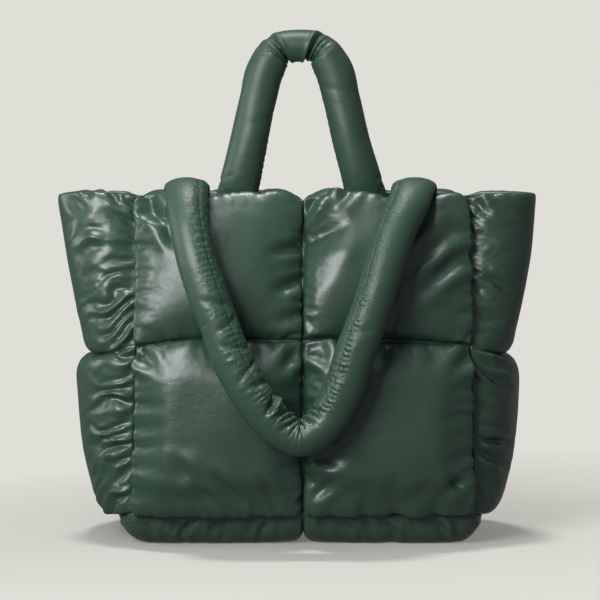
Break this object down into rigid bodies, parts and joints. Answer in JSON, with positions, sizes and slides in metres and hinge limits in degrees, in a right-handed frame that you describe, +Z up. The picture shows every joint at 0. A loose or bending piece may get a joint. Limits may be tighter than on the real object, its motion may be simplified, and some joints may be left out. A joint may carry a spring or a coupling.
{
  "type": "padded tote bag",
  "caption": "Quilted padded tote bag with puffed square cells, wing-like folded side gussets, and stuffed tube handles, upright at the rear and hanging over the front.",
  "frame": {"origin": "centre of the bag's outline on the floor that it stands on", "axes": "+Z up, +Y from the front wall to the back wall, +X to the right seen from the front"},
  "size_m": [0.4984, 0.249, 0.5255],
  "materials": {
    "shell_cloth": "dark green coated cloth with a semi-gloss sheen, quilted over soft filling",
    "handle_cloth": "dark green coated cloth with a semi-gloss sheen, sewn into a stuffed tube"
  },
  "bodies": {
    "root": {"front_wall": "shell_cloth", "back_wall": "shell_cloth", "left_gusset": "shell_cloth", "right_gusset": "shell_cloth", "base_panel": "shell_cloth", "front_handle": "handle_cloth", "rear_handle": "handle_cloth"}
  },
  "joints": []
}
